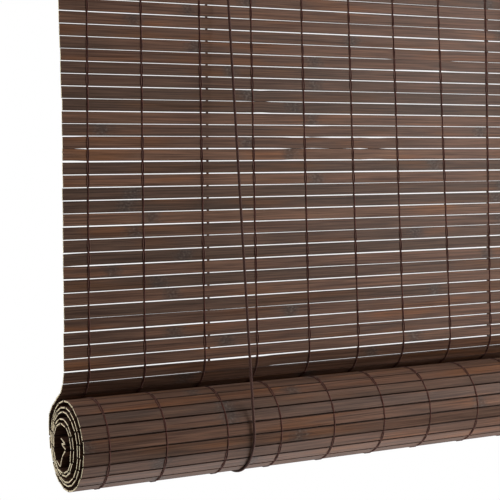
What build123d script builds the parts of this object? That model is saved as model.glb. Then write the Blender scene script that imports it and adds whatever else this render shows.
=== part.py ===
"""Bamboo roll-up blind, half raised.

A wooden headrail clamps the top of a mat of bamboo slats, which warp threads hold one above the other.
The lower part of the mat is rolled up, and two lift cords pass under the roll and carry it.
"""

from build123d import *
import math
import os

os.makedirs("parts", exist_ok=True)

# Lengths are in millimetres. The origin lies midway between the two hanger holes, on the back faces of
# the hangers. +X runs to the right across the blind, +Y to the window behind it, +Z up.

# Bamboo slats
BLIND_WIDTH = 600.0
SLAT_WIDTH = 9.4
SLAT_THICKNESS = 1.4
SLAT_GAP = 0.8
HANGING_SLAT_COUNT = 34

# Warp threads, a front and a back strand at each place
THREAD_COUNT = 12
THREAD_MARGIN = 22.0
THREAD_WIDTH = 1.2
THREAD_THICKNESS = 0.5

# Roll: turns of flat slats round a hollow. The hollow's radius is a share of the slats' pitch, because
# flat slats can't wind tighter. Each turn sags further to the back and down than the one outside it, by
# shares of the turns' pitch.
ROLL_RADIUS = 38.0
TURN_PITCH = 4.0
TURN_BACK_SHARE = 0.30
TURN_DOWN_SHARE = 0.12
HOLLOW_PITCH_SHARE = 1.645
CHORD_REFINEMENTS = 8
OUTER_END_ANGLE = 2.0
SLAT_WEB = 0.4
FOLD_CLEARANCE = 0.1
ROLL_CLEARANCE = 0.3
# Headings of the slats that lead in, in degrees from straight down, growing towards the back
LEAD_HEADINGS = (0.0, 18.0, 34.0, 72.0, 66.0, 38.0, 12.0, 3.0)
LEAD_END_RISE = 3.4
# Headings of the folded slats in the hollow, in degrees from the last wound slat
TAIL_HEADINGS = (-36.0, -122.0, -66.0, -186.0, -52.0, -200.0)

# Headrail: back batten and front lath, which clamp the mat
BATTEN_DEPTH = 30.0
LATH_DEPTH = 12.0
HEADRAIL_HEIGHT = 20.0
MAT_INSET = 5.0
PIN_RADIUS = 0.35
PIN_HEAD_RADIUS = 0.8
PIN_HEAD_HEIGHT = 0.6
PIN_BITE = 12.0
DRILL_CLEARANCE = 0.05

# Hangers
HANGER_INSET = 50.0
HANGER_WIDTH = 16.0
HANGER_THICKNESS = 1.5
HANGER_RISE = 14.0
HANGER_HOLE_RADIUS = 3.0
HANGER_FOOT_MARGIN = 2.0
SCREW_RADIUS = 1.5
SCREW_LENGTH = 14.0
SCREW_HEAD_RADIUS = 3.2
SCREW_HEAD_HEIGHT = 1.8
SCREW_INSET = 5.0

# Lift cords
CORD_RADIUS = 1.1
CORD_INSET = 147.5
CORD_LANE = 1.4
CORD_HOLE_RADIUS = 1.6
CORD_BEND_RADIUS = 4.0
CORD_BACK_BEND_RADIUS = 20.0
CORD_BACK_INSET = 4.5
CORD_CORNER_DROP = 2.0
KNOT_RADIUS = 2.5
KNOT_LENGTH = 4.0
KNOT_CHAMFER = 1.0
GROOVE_WIDTH = 6.0
GROOVE_DEPTH = 8.0
GROOVE_END_ROOM = 4.0

# Ferrules in the lath
FERRULE_RADIUS = 2.8
FERRULE_LENGTH = 6.0
FERRULE_FLANGE_RADIUS = 4.4
FERRULE_FLANGE = 1.2

# Cord lock, an eccentric cam over the cords in a trough
LOCK_INSET = 60.0
LOCK_LENGTH = 26.0
LOCK_WIDTH = 8.8
LOCK_WALL = 1.2
LOCK_PIN_RADIUS = 1.0
LOCK_PIN_COVER = 3.0
CAM_RADIUS = 5.0
CAM_OFFSET = 1.5
CAM_CORD_GAP = 0.1
CAM_SIDE_GAP = 0.2
RUNNING_CLEARANCE = 0.05

# Extra length of every cut past the faces it goes through
OVERRUN = 1.0

# Places that follow from the sizes
slat_pitch = SLAT_WIDTH + SLAT_GAP
thread_spacing = (BLIND_WIDTH - 2 * THREAD_MARGIN) / (THREAD_COUNT - 1)
left_end = -BLIND_WIDTH / 2
headrail_top = -HANGER_RISE
headrail_bottom = headrail_top - HEADRAIL_HEIGHT
batten_back = -HANGER_THICKNESS
batten_front = batten_back - BATTEN_DEPTH
mat_back = batten_front - THREAD_THICKNESS
mat_front = mat_back - SLAT_THICKNESS
mat_middle = (mat_back + mat_front) / 2
lath_back = mat_front - THREAD_THICKNESS
lath_front = lath_back - LATH_DEPTH
lath_middle = (lath_back + lath_front) / 2
mat_top = headrail_top - MAT_INSET
mat_flat_bottom = mat_top - HANGING_SLAT_COUNT * slat_pitch
first_gap = mat_top - slat_pitch
groove_floor = headrail_top - GROOVE_DEPTH


def thread_x(number):
    return left_end + THREAD_MARGIN + number * thread_spacing


# The roll's own plane: points are (back, up) from the roll's axis


def heading_vector(heading):
    angle = math.radians(heading)
    return math.sin(angle), -math.cos(angle)


def stepped(point, direction, length):
    return point[0] + length * direction[0], point[1] + length * direction[1]


def turned_left(direction):
    return -direction[1], direction[0]


def direction_between(start, end):
    length = math.dist(start, end)
    return (end[0] - start[0]) / length, (end[1] - start[1]) / length


def walk(start, headings):
    """Joints of a row of slats, each slat with its own heading."""
    joints = [start]
    for heading in headings:
        joints.append(stepped(joints[-1], heading_vector(heading), slat_pitch))
    return joints


outer_joint_radius = ROLL_RADIUS - SLAT_THICKNESS / 2
half_step = math.asin(slat_pitch / 2 / outer_joint_radius)
slat_reach = outer_joint_radius + SLAT_THICKNESS / 2 / math.cos(half_step)
thread_reach = outer_joint_radius + (SLAT_THICKNESS / 2 + THREAD_THICKNESS) / math.cos(half_step)
wound_turns = (outer_joint_radius - HOLLOW_PITCH_SHARE * slat_pitch) / TURN_PITCH


def spiral_point(wound):
    """Point of the mat that lies this angle along the winding, from its outer end."""
    inward = TURN_PITCH * wound / math.tau
    radius = outer_joint_radius - inward
    angle = math.radians(OUTER_END_ANGLE) - wound
    back = radius * math.cos(angle) + TURN_BACK_SHARE * inward
    return back, radius * math.sin(angle) - TURN_DOWN_SHARE * inward


def spiral_joints():
    """Joints of the wound slats, a slat's pitch apart."""
    wound = 0.0
    joints = [spiral_point(wound)]
    while wound < wound_turns * math.tau:
        step = half_step
        for _ in range(CHORD_REFINEMENTS):
            step *= slat_pitch / math.dist(joints[-1], spiral_point(wound + step))
        wound += step
        joints.append(spiral_point(wound))
    return joints


wound_joints = spiral_joints()
last_run = direction_between(*wound_joints[-2:])
last_heading = math.degrees(math.atan2(last_run[0], -last_run[1]))
tail = walk(wound_joints[-1], [last_heading + turn for turn in TAIL_HEADINGS])
roll_joints = wound_joints[:-1] + tail
lead_end_back = thread_reach + ROLL_CLEARANCE + THREAD_THICKNESS + SLAT_THICKNESS / 2
lead_shift = sum(slat_pitch * heading_vector(heading)[0] for heading in LEAD_HEADINGS)
lead_drop = -sum(slat_pitch * heading_vector(heading)[1] for heading in LEAD_HEADINGS)
lead_start = (lead_end_back - lead_shift, LEAD_END_RISE + lead_drop)
lead_joints = walk(lead_start, LEAD_HEADINGS)
axis_y = mat_middle - lead_start[0]
axis_z = mat_flat_bottom - lead_start[1]


# Shapes that repeat


def save(shape, node):
    export_step(shape, f"parts/{node}.step")


def block(x_span, y_span, z_span):
    spans = [sorted(span) for span in (x_span, y_span, z_span)]
    middle = [(low + high) / 2 for low, high in spans]
    return Pos(*middle) * Box(*[high - low for low, high in spans])


def rod(start, end, radius):
    axis = Vector(*end) - Vector(*start)
    return Solid.make_cylinder(radius, axis.length, Plane(origin=start, z_dir=axis))


def bead(start, end):
    """Knot in a cord: a short round lump."""
    lump = rod(start, end, KNOT_RADIUS)
    return lump.chamfer(KNOT_CHAMFER, KNOT_CHAMFER, lump.edges().filter_by(GeomType.CIRCLE))


def across_blind(outline, x_start, width):
    """Straight piece along X with this outline in the roll's plane."""
    points = [(x_start, axis_y + back, axis_z + up) for back, up in outline]
    return Solid.extrude(Face(Wire.make_polygon(points)), Vector(width, 0, 0))


def fold_angles(joints):
    """Turn at each joint, with none at the two ends."""
    runs = [direction_between(*pair) for pair in zip(joints, joints[1:])]
    turns = [math.acos(max(-1, min(1, a[0] * b[0] + a[1] * b[1]))) for a, b in zip(runs, runs[1:])]
    return [0.0] + turns + [0.0]


def slat_band(joints):
    """Outline of a row of slats, joined by a thin web at each joint."""
    turns = fold_angles(joints)
    fold_trims = [SLAT_THICKNESS / 2 * math.tan(turn / 2) + FOLD_CLEARANCE for turn in turns]
    trims = [max(SLAT_GAP / 2, trim) for trim in fold_trims]
    outer, inner = [], []
    for number, (start, end) in enumerate(zip(joints, joints[1:])):
        run = direction_between(start, end)
        side = turned_left(run)
        first = stepped(start, run, trims[number])
        last = stepped(end, run, -trims[number + 1])
        for place, offset in (
            (first, SLAT_WEB / 2),
            (first, SLAT_THICKNESS / 2),
            (last, SLAT_THICKNESS / 2),
            (last, SLAT_WEB / 2),
        ):
            outer.append(stepped(place, side, offset))
            inner.append(stepped(place, side, -offset))
    return outer[1:-1] + inner[-2:0:-1]


def mitred(joints, offset):
    """Line beside a row of slats, at a distance from their middle."""
    runs = [direction_between(*pair) for pair in zip(joints, joints[1:])]
    line = []
    for point, before, after in zip(joints, [runs[0]] + runs, runs + [runs[-1]]):
        bisector = turned_left((before[0] + after[0], before[1] + after[1]))
        half_turn = math.hypot(*bisector) / 2
        line.append(stepped(point, bisector, offset / 2 / half_turn**2))
    return line


def thread_on(joints, near, far, number):
    outline = mitred(joints, near) + mitred(joints, far)[::-1]
    return across_blind(outline, thread_x(number) - THREAD_WIDTH / 2, THREAD_WIDTH)


# Headrail


def cord_x(side):
    return side * (BLIND_WIDTH / 2 - CORD_INSET)


def cord_front_y(side):
    return lath_middle + side * CORD_LANE


cord_back_y = batten_back - CORD_BACK_INSET
top_cord_z = groove_floor + CORD_RADIUS
lock_middle = BLIND_WIDTH / 2 - LOCK_INSET
lock_span = (lock_middle - LOCK_LENGTH / 2, lock_middle + LOCK_LENGTH / 2)
lock_pin_z = groove_floor + 2 * CORD_RADIUS + CAM_CORD_GAP + CAM_RADIUS + CAM_OFFSET
groove_end = lock_span[1] + KNOT_LENGTH + GROOVE_END_ROOM
# A pin in every second bay between the threads
pin_places = [thread_x(bay) + thread_spacing / 2 for bay in range(1, THREAD_COUNT - 1, 2)]
pin_tip = lath_back + 2 * THREAD_THICKNESS + SLAT_THICKNESS + PIN_BITE
hanger_places = (left_end + HANGER_INSET, -left_end - HANGER_INSET)
screw_heights = (headrail_top - SCREW_INSET, headrail_bottom + SCREW_INSET)


def headrail_block(y_span):
    return block((left_end, -left_end), y_span, (headrail_bottom, headrail_top))


def drilled_for_pins(wood):
    for x in pin_places:
        start, end = (x, lath_front - OVERRUN, first_gap), (x, pin_tip, first_gap)
        wood -= rod(start, end, PIN_RADIUS + DRILL_CLEARANCE)
    return wood


def back_batten():
    wood = drilled_for_pins(headrail_block((batten_front, batten_back)))
    for side in (-1, 1):
        low = (cord_x(side), cord_back_y, headrail_bottom - OVERRUN)
        high = (cord_x(side), cord_back_y, headrail_top + OVERRUN)
        wood -= rod(low, high, CORD_HOLE_RADIUS)
    for x in hanger_places:
        for z in screw_heights:
            start, end = (x, OVERRUN, z), (x, batten_back - SCREW_LENGTH, z)
            wood -= rod(start, end, SCREW_RADIUS + DRILL_CLEARANCE)
    return wood


def front_lath():
    wood = drilled_for_pins(headrail_block((lath_front, lath_back)))
    groove_y = (lath_middle - GROOVE_WIDTH / 2, lath_middle + GROOVE_WIDTH / 2)
    groove_x = (cord_x(-1) - GROOVE_END_ROOM, groove_end)
    wood -= block(groove_x, groove_y, (groove_floor, headrail_top + OVERRUN))
    lock_y = (lath_middle - LOCK_WIDTH / 2, lath_middle + LOCK_WIDTH / 2)
    wood -= block(lock_span, lock_y, (groove_floor - LOCK_WALL, headrail_top + OVERRUN))
    for side in (-1, 1):
        x, y = cord_x(side), cord_front_y(side)
        wood -= rod((x, y, headrail_bottom - OVERRUN), (x, y, groove_floor), CORD_HOLE_RADIUS)
        seat = headrail_bottom + FERRULE_LENGTH
        wood -= rod((x, y, headrail_bottom - OVERRUN), (x, y, seat), FERRULE_RADIUS + DRILL_CLEARANCE)
        turn_x = (x - CORD_HOLE_RADIUS, x + CORD_BEND_RADIUS + CORD_HOLE_RADIUS)
        turn_y = (y - CORD_HOLE_RADIUS, y + CORD_HOLE_RADIUS)
        wood -= block(turn_x, turn_y, (groove_floor - CORD_BEND_RADIUS, groove_floor))
    return wood


def lath_pins():
    """Panel pins through the lath and the first gap of the mat into the batten."""
    pins = []
    for x in pin_places:
        shank = rod((x, lath_front, first_gap), (x, pin_tip, first_gap), PIN_RADIUS)
        head_end = (x, lath_front - PIN_HEAD_HEIGHT, first_gap)
        pins.append(shank + rod((x, lath_front, first_gap), head_end, PIN_HEAD_RADIUS))
    return Compound(children=pins)


def hanger(x):
    foot = headrail_bottom + HANGER_FOOT_MARGIN
    plate = block((x - HANGER_WIDTH / 2, x + HANGER_WIDTH / 2), (batten_back, 0), (foot, 0))
    plate += rod((x, batten_back, 0), (x, 0, 0), HANGER_WIDTH / 2)
    plate -= rod((x, batten_back - OVERRUN, 0), (x, OVERRUN, 0), HANGER_HOLE_RADIUS)
    for z in screw_heights:
        start, end = (x, batten_back - OVERRUN, z), (x, OVERRUN, z)
        plate -= rod(start, end, SCREW_RADIUS + DRILL_CLEARANCE)
    return plate


def hanger_screws():
    screws = []
    for x in hanger_places:
        for z in screw_heights:
            shank = rod((x, batten_back - SCREW_LENGTH, z), (x, 0, z), SCREW_RADIUS)
            screws.append(shank + rod((x, 0, z), (x, SCREW_HEAD_HEIGHT, z), SCREW_HEAD_RADIUS))
    return Compound(children=screws)


def cord_ferrule(side):
    x, y = cord_x(side), cord_front_y(side)
    rim = headrail_bottom - FERRULE_FLANGE
    seat = headrail_bottom + FERRULE_LENGTH
    ring = rod((x, y, headrail_bottom), (x, y, seat), FERRULE_RADIUS)
    ring += rod((x, y, rim), (x, y, headrail_bottom), FERRULE_FLANGE_RADIUS)
    return ring - rod((x, y, rim - OVERRUN), (x, y, seat + OVERRUN), CORD_HOLE_RADIUS)


# Cord lock

cheek_top = lock_pin_z + LOCK_PIN_COVER
lock_y_span = (
    lath_middle - LOCK_WIDTH / 2 + DRILL_CLEARANCE,
    lath_middle + LOCK_WIDTH / 2 - DRILL_CLEARANCE,
)
cheek_y_span = (lock_y_span[0] + LOCK_WALL, lock_y_span[1] - LOCK_WALL)
lock_pin_ends = [(lock_middle, y, lock_pin_z) for y in lock_y_span]


def cord_lock_trough():
    length = (lock_span[0] + DRILL_CLEARANCE, lock_span[1] - DRILL_CLEARANCE)
    trough = block(length, lock_y_span, (groove_floor - LOCK_WALL, cheek_top))
    trough -= block(lock_span, cheek_y_span, (groove_floor, cheek_top + OVERRUN))
    reach = [(lock_middle, y, lock_pin_z) for y in (lath_front, lath_back)]
    return trough - rod(*reach, LOCK_PIN_RADIUS)


def cord_lock_cam():
    """Eccentric disc, its low side on the cords."""
    faces = (cheek_y_span[0] + CAM_SIDE_GAP, cheek_y_span[1] - CAM_SIDE_GAP)
    disc = rod(*[(lock_middle, y, lock_pin_z - CAM_OFFSET) for y in faces], CAM_RADIUS)
    return disc - rod(*lock_pin_ends, LOCK_PIN_RADIUS + RUNNING_CLEARANCE)


# Hanging mat


def hanging_slats():
    slats = []
    for number in range(HANGING_SLAT_COUNT):
        top = mat_top - number * slat_pitch - SLAT_GAP / 2
        slats.append(block((left_end, -left_end), (mat_front, mat_back), (top - SLAT_WIDTH, top)))
    return Compound(children=slats)


def warp_thread(number):
    """Back and front strand of a thread along the flat part of the mat."""
    width = (thread_x(number) - THREAD_WIDTH / 2, thread_x(number) + THREAD_WIDTH / 2)
    height = (mat_flat_bottom, mat_top)
    strands = [block(width, faces, height) for faces in ((mat_back, batten_front), (lath_back, mat_front))]
    return Compound(children=strands)


# Mat that leads into the roll, and the roll

slat_face = SLAT_THICKNESS / 2
thread_face = slat_face + THREAD_THICKNESS
outer_turn_count = 1 + round(math.tau / (2 * half_step))


def lead_in_slats():
    pairs = zip(lead_joints, lead_joints[1:])
    return Compound(children=[across_blind(slat_band(pair), left_end, BLIND_WIDTH) for pair in pairs])


def lead_in_threads():
    strands = []
    for number in range(THREAD_COUNT):
        strands.append(thread_on(lead_joints, slat_face, thread_face, number))
        strands.append(thread_on(lead_joints, -thread_face, -slat_face, number))
    return Compound(children=strands)


def roll_threads():
    joints = wound_joints[:outer_turn_count]
    rings = [thread_on(joints, slat_face, thread_face, number) for number in range(THREAD_COUNT)]
    return Compound(children=rings)


# Lift cords

cord_ring_radius = slat_reach + ROLL_CLEARANCE + CORD_RADIUS
corner = (lead_end_back + slat_face + ROLL_CLEARANCE + CORD_RADIUS, LEAD_END_RISE - CORD_CORNER_DROP)
back_hole = (cord_back_y - axis_y, headrail_bottom - axis_z)


def front_hole(side):
    return cord_front_y(side) - axis_y, headrail_bottom - FERRULE_FLANGE - axis_z


def on_ring(angle):
    return cord_ring_radius * math.cos(angle), cord_ring_radius * math.sin(angle)


def tangent_angle(point, side):
    """Angle on the cord's ring where a line from an outside point touches it."""
    return math.atan2(point[1], point[0]) + side * math.acos(cord_ring_radius / math.hypot(*point))


def front_touch(side):
    return on_ring(tangent_angle(front_hole(side), 1))


back_touch = on_ring(tangent_angle(corner, -1))
back_run_direction = direction_between(corner, back_hole)
rise_to_lead_top = (lead_start[1] - corner[1]) / back_run_direction[1]
back_joint = stepped(corner, back_run_direction, rise_to_lead_top)


def in_blind(side, point):
    return cord_x(side), axis_y + point[0], axis_z + point[1]


def cord_tube(path, start, tangent):
    section = Plane(origin=start, z_dir=tangent) * Circle(CORD_RADIUS)
    return sweep(section, path=path)


def cord_cradle(side):
    """Loop of the cord under the roll and up behind the mat that leads into it."""
    arrival = direction_between(back_touch, corner)
    turn = math.acos(arrival[0] * back_run_direction[0] + arrival[1] * back_run_direction[1])
    trim = CORD_BACK_BEND_RADIUS * math.tan(turn / 2)
    bend_start = in_blind(side, stepped(corner, arrival, -trim))
    bend_end = in_blind(side, stepped(corner, back_run_direction, trim))
    start, touch = in_blind(side, front_touch(side)), in_blind(side, back_touch)
    path = Wire(
        [
            ThreePointArc(start, in_blind(side, (0, -cord_ring_radius)), touch),
            Line(touch, bend_start),
            TangentArc(bend_start, bend_end, tangent=(0, *arrival)),
            Line(bend_end, in_blind(side, back_joint)),
        ]
    )
    front = direction_between(front_hole(side), front_touch(side))
    return cord_tube(path, start, (0, *front))


def run_up_to(side, low, high):
    """Straight run of the cord, cut level where it enters the headrail."""
    past = stepped(high, direction_between(low, high), OVERRUN)
    level = Plane(origin=in_blind(side, high))
    return split(rod(in_blind(side, low), in_blind(side, past), CORD_RADIUS), level, Keep.BOTTOM)


def cord_front_run(side):
    return run_up_to(side, front_touch(side), front_hole(side))


def cord_back_run(side):
    return run_up_to(side, back_joint, back_hole)


def cord_back_end(side):
    """End of the cord in the batten, knotted on top of it."""
    x = cord_x(side)
    top = (x, cord_back_y, headrail_top)
    tail = rod((x, cord_back_y, headrail_bottom), top, CORD_RADIUS)
    return tail + bead(top, (x, cord_back_y, headrail_top + KNOT_LENGTH))


def cord_top_run(side):
    """Cord up through the lath, along its groove and through the lock."""
    x, y = cord_x(side), cord_front_y(side)
    start = (x, y, headrail_bottom - FERRULE_FLANGE)
    bend_start = (x, y, top_cord_z - CORD_BEND_RADIUS)
    bend_end = (x + CORD_BEND_RADIUS, y, top_cord_z)
    end = (lock_span[1], y, top_cord_z)
    path = Wire(
        [
            Line(start, bend_start),
            TangentArc(bend_start, bend_end, tangent=(0, 0, 1)),
            Line(bend_end, end),
        ]
    )
    return cord_tube(path, start, (0, 0, 1))


def cord_end_knot():
    """Knot that ties the two cords together behind the lock."""
    height = groove_floor + KNOT_RADIUS
    near, far = lock_span[1], lock_span[1] + KNOT_LENGTH
    return bead((near, lath_middle, height), (far, lath_middle, height))


save(back_batten(), "back_batten")
save(front_lath(), "front_lath")
save(lath_pins(), "lath_pins")
save(hanger_screws(), "hanger_screws")
save(cord_lock_trough(), "cord_lock_trough")
save(rod(*lock_pin_ends, LOCK_PIN_RADIUS), "cord_lock_pin")
save(cord_lock_cam(), "cord_lock_cam")
save(cord_end_knot(), "cord_end_knot")
save(hanging_slats(), "hanging_slats")
for thread in range(THREAD_COUNT):
    save(warp_thread(thread), f"warp_thread_{thread + 1:02d}")
save(lead_in_slats(), "lead_in_slats")
save(lead_in_threads(), "lead_in_threads")
save(across_blind(slat_band(roll_joints), left_end, BLIND_WIDTH), "rolled_mat")
save(roll_threads(), "roll_threads")
for name, side, hanger_x in zip(("left", "right"), (-1, 1), hanger_places):
    save(hanger(hanger_x), f"{name}_hanger")
    save(cord_ferrule(side), f"{name}_cord_ferrule")
    save(cord_front_run(side), f"{name}_cord_front_run")
    save(cord_cradle(side), f"{name}_cord_cradle")
    save(cord_back_run(side), f"{name}_cord_back_run")
    save(cord_back_end(side), f"{name}_cord_back_end")
    save(cord_top_run(side), f"{name}_cord_top_run")

print(f"slats: {HANGING_SLAT_COUNT} hanging, {len(LEAD_HEADINGS)} leading in, {len(roll_joints) - 1} rolled")
print(f"roll axis y {axis_y:.3f} z {axis_z:.3f}, reach {thread_reach:.3f}")
print(f"cord radii: {cord_ring_radius:.2f} under the roll, {CORD_BACK_BEND_RADIUS} behind, {CORD_BEND_RADIUS}")
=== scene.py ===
import math
import random

import bmesh
import bpy
from mathutils import Matrix, Vector


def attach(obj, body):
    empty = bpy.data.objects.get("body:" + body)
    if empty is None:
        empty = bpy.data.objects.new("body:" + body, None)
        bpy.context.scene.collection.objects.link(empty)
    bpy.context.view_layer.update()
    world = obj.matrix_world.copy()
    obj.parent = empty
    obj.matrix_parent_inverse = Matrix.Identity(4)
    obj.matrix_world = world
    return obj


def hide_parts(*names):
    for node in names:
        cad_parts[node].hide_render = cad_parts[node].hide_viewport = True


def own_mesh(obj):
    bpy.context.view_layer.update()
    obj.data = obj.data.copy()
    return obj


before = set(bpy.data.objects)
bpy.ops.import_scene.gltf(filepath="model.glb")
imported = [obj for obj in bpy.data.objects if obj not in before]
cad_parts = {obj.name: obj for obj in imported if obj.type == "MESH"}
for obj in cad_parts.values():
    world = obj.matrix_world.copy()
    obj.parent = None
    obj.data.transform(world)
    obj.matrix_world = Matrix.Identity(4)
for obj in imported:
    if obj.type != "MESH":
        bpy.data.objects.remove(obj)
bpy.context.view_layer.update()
scene = bpy.context.scene
scene.view_settings.view_transform = "Standard"

# Studio. A half-raised blind hangs free in front of plain white, seen close from the front left, with one
# soft lamp at the front right, weaker ones above, below, behind and beside its sawn ends, and a pale floor.
CAMERA_PLACE = Vector((-0.68660, -1.03497, -0.24440))
CAMERA_YAW, CAMERA_PITCH, CAMERA_ROLL = 29.313, 0.036, -1.279
camera_data = bpy.data.cameras.new("photo_camera")
camera_data.sensor_width = 36.0
camera_data.lens = 97.576
camera_data.shift_x = -0.0113
camera_data.shift_y = -0.1031
photo_camera = bpy.data.objects.new("photo_camera", camera_data)
photo_camera.matrix_world = (
    Matrix.Translation(CAMERA_PLACE)
    @ Matrix.Rotation(math.radians(-CAMERA_YAW), 4, "Z")
    @ Matrix.Rotation(math.radians(90 + CAMERA_PITCH), 4, "X")
    @ Matrix.Rotation(math.radians(CAMERA_ROLL), 4, "Z")
)
scene.collection.objects.link(photo_camera)
scene.camera = photo_camera


def hang_softbox(name, place, aim, size, power):
    softbox = bpy.data.lights.new(name, "AREA")
    softbox.size = size
    softbox.energy = power
    lamp = bpy.data.objects.new(name, softbox)
    lamp.location = place
    lamp.visible_camera = False
    lamp.rotation_euler = (Vector(aim) - Vector(place)).to_track_quat("-Z", "Y").to_euler()
    scene.collection.objects.link(lamp)


hang_softbox("front_softbox", (0.78, -0.68, -0.08), (-0.05, -0.03, -0.25), 0.8, 12.7)
hang_softbox("back_softbox", (-0.90, 1.50, 0.60), (0.0, -0.03, -0.25), 1.2, 11.0)
hang_softbox("top_softbox", (0.00, -0.30, 0.90), (-0.05, -0.05, -0.43), 0.9, 8.2)
hang_softbox("low_softbox", (0.08, -0.13, -0.95), (-0.08, -0.05, -0.43), 0.6, 3.4)
hang_softbox("end_softbox", (-1.50, 0.10, -0.20), (-0.30, -0.03, -0.30), 0.5, 9.0)


def put(tree, kind, sockets=(), **settings):
    """Adds a node; sockets gives each input a value or another node's output."""
    node = tree.nodes.new(kind)
    for name, value in settings.items():
        setattr(node, name, value)
    for name, value in dict(sockets).items():
        if isinstance(value, bpy.types.NodeSocket):
            tree.links.new(value, node.inputs[name])
        else:
            node.inputs[name].default_value = value
    return node


def maths(tree, operation, *values):
    node = put(tree, "ShaderNodeMath", enumerate(values), operation=operation)
    return node.outputs[0]


def seen_directly(tree):
    """1 for rays that look straight, by a mirror or through glass at a surface."""
    path = put(tree, "ShaderNodeLightPath").outputs
    mirrored = maths(tree, "MAXIMUM", path["Is Glossy Ray"], path["Is Transmission Ray"])
    return maths(tree, "MAXIMUM", path["Is Camera Ray"], mirrored)


white_room = bpy.data.worlds.new("white_room")
white_room.use_nodes = True
room_tree = white_room.node_tree
ROOM_LIGHT = 0.03
room_strength = put(
    room_tree, "ShaderNodeMapRange", {"Value": seen_directly(room_tree), "To Min": ROOM_LIGHT, "To Max": 1.0}
)
room_tree.links.new(room_strength.outputs[0], room_tree.nodes["Background"].inputs["Strength"])
room_tree.nodes["Background"].inputs["Color"].default_value = (1, 1, 1, 1)
scene.world = white_room

FLOOR_RADIUS, FLOOR_LEVEL = 2.6, -1.6
FADE_START, FADE_END, MIDDLE_GLOW = 0.9, 2.5, 0.7
bpy.ops.object.select_all(action="DESELECT")
bpy.ops.mesh.primitive_circle_add(
    vertices=96, radius=FLOOR_RADIUS, fill_type="NGON", location=(0, 0, FLOOR_LEVEL)
)
floor = bpy.context.object
floor.name = "pale_floor"
floor_finish = bpy.data.materials.new("pale_floor")
floor_finish.use_nodes = True
floor_tree = floor_finish.node_tree
floor_place = put(floor_tree, "ShaderNodeTexCoord").outputs["Object"]
floor_distance = put(floor_tree, "ShaderNodeVectorMath", {0: floor_place}, operation="LENGTH")
floor_fade = put(
    floor_tree,
    "ShaderNodeMapRange",
    {
        "Value": floor_distance.outputs["Value"],
        "From Min": FADE_START,
        "From Max": FADE_END,
        "To Min": MIDDLE_GLOW,
        "To Max": 1.0,
    },
).outputs[0]
floor_glow = put(floor_tree, "ShaderNodeEmission", {"Color": (1, 1, 1, 1), "Strength": 1.0})
floor_paint = put(floor_tree, "ShaderNodeBsdfDiffuse", {"Color": (0.9, 0.9, 0.9, 1)})
floor_share = maths(floor_tree, "MULTIPLY", floor_fade, seen_directly(floor_tree))
floor_mix = put(
    floor_tree,
    "ShaderNodeMixShader",
    {0: floor_share, 1: floor_paint.outputs[0], 2: floor_glow.outputs[0]},
)
floor_tree.links.new(floor_mix.outputs[0], floor_tree.nodes["Material Output"].inputs["Surface"])
floor.data.materials.append(floor_finish)

# Headrail. Two planed softwood laths, stained dark like the bamboo and satin varnished, clamp the top of
# the mat between them. Panel pins through the front lath hold them together.


def stain(red, green, blue):
    """Linear colour of a stain given as it looks on a screen, from 0 to 255."""
    shares = [value / 255 for value in (red, green, blue)]
    return (*[s / 12.92 if s <= 0.04045 else ((s + 0.055) / 1.055) ** 2.4 for s in shares], 1)


def stretched_noise(tree, place, stretch, detail):
    scaled = put(tree, "ShaderNodeVectorMath", {0: place, 1: stretch}, operation="MULTIPLY")
    noise = put(tree, "ShaderNodeTexNoise", {"Vector": scaled.outputs[0], "Scale": 1.0, "Detail": detail})
    return noise.outputs[0]


def rising_mask(tree, value, start, full):
    """0 up to one value and 1 from another on; the other way round if start is the higher one."""
    node = put(tree, "ShaderNodeMapRange", {"Value": value, "From Min": start, "From Max": full})
    return node.outputs[0]


def ramp(tree, factor, stops):
    node = put(tree, "ShaderNodeValToRGB", {0: factor})
    stripes = node.color_ramp.elements
    while len(stripes) < len(stops):
        stripes.new(0.5)
    for stripe, (place, colour) in zip(stripes, stops):
        stripe.position = place
        stripe.color = colour
    return node.outputs[0]


def mixed(tree, factor, low, high, how="MIX"):
    node = put(tree, "ShaderNodeMix", {0: factor, 6: low, 7: high}, data_type="RGBA", blend_type=how)
    return node.outputs[2]


def new_group(name, inputs, outputs):
    group = bpy.data.node_groups.new(name, "ShaderNodeTree")
    for label, kind in inputs:
        group.interface.new_socket(label, in_out="INPUT", socket_type="NodeSocket" + kind)
    for label, kind in outputs:
        group.interface.new_socket(label, in_out="OUTPUT", socket_type="NodeSocket" + kind)
    return group, group.nodes.new("NodeGroupInput").outputs, group.nodes.new("NodeGroupOutput").inputs


# Stained grain along X: fine fibres, broad streaks, honey-brown stretches where the stain took less, and grey
# mottled patches where the cane had its joints, with painted shade darkening each slat along its long edges.
grain, given, results = new_group(
    "grain_and_edge_shade",
    (("Place", "Vector"), ("Tone", "Float"), ("Joints", "Float"), ("Edges", "Float")),
    (("Color", "Color"), ("Roughness", "Float"), ("Height", "Float")),
)
TONE_SHARE, CLOUD_SHARE = 0.34, 0.66
fibres = stretched_noise(grain, given["Place"], (26.0, 300.0, 1500.0), 5.0)
streaks = stretched_noise(grain, given["Place"], (11.0, 140.0, 620.0), 4.0)
clouds = stretched_noise(grain, given["Place"], (16.0, 60.0, 110.0), 3.0)
toned = maths(grain, "MULTIPLY", given["Tone"], TONE_SHARE)
shade = maths(grain, "ADD", toned, maths(grain, "MULTIPLY", clouds, CLOUD_SHARE))
ground = ramp(
    grain,
    shade,
    (
        (0.25, stain(80, 62, 51)),
        (0.45, stain(92, 70, 58)),
        (0.60, stain(101, 75, 61)),
        (0.80, stain(113, 85, 68)),
    ),
)
streak_dye = ramp(
    grain,
    streaks,
    ((0.32, (0.55, 0.48, 0.45, 1)), (0.50, (0.95, 0.93, 0.92, 1)), (0.68, (1.18, 1.09, 1.05, 1))),
)
streaky = mixed(grain, 1.0, ground, streak_dye, "MULTIPLY")
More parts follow.
